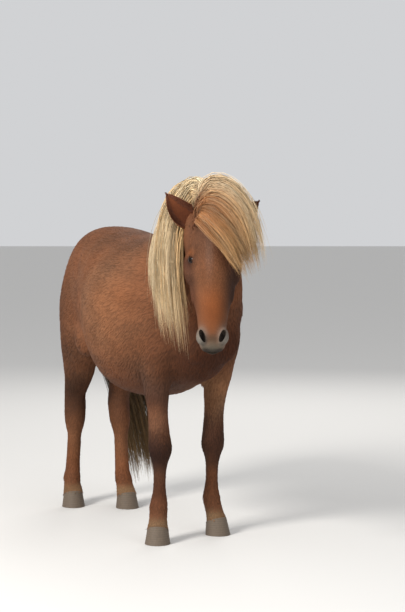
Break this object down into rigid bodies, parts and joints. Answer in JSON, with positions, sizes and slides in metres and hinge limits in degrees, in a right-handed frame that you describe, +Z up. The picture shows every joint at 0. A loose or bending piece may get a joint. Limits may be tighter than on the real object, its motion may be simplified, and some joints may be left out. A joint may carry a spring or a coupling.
{
  "type": "icelandic horse model",
  "caption": "Life-size chestnut Icelandic horse in winter coat, standing still, head turned to its right, flaxen mane, forelock and tail blown by the wind",
  "frame": {"origin": "on the floor, at the middle of the model's floor plan", "axes": "the body points along -Y, +X is the horse's left, +Z is up; the hooves stand on Z = 0"},
  "size_m": [0.7524, 1.9688, 1.6102],
  "materials": {
    "coat": "thick matt winter coat, reddish chestnut, paler on the muzzle and lower legs",
    "long_hair": "long coarse flaxen hair with a soft sheen",
    "hoof": "dull grey-brown horn",
    "eye": "wet, very dark brown"
  },
  "bodies": {
    "root": {"head": "coat", "neck": "coat", "torso": "coat", "tail": "long_hair", "ear_right": "coat", "ear_left": "coat", "eye_right": "eye", "eye_left": "eye", "foreleg_upper_right": "coat", "foreleg_upper_left": "coat", "hindleg_upper_right": "coat", "hindleg_upper_left": "coat", "foreleg_lower_right": "coat", "foreleg_lower_left": "coat", "hindleg_lower_right": "coat", "hindleg_lower_left": "coat", "fore_hoof_right": "hoof", "fore_hoof_left": "hoof", "hind_hoof_right": "hoof", "hind_hoof_left": "hoof"}
  },
  "joints": []
}
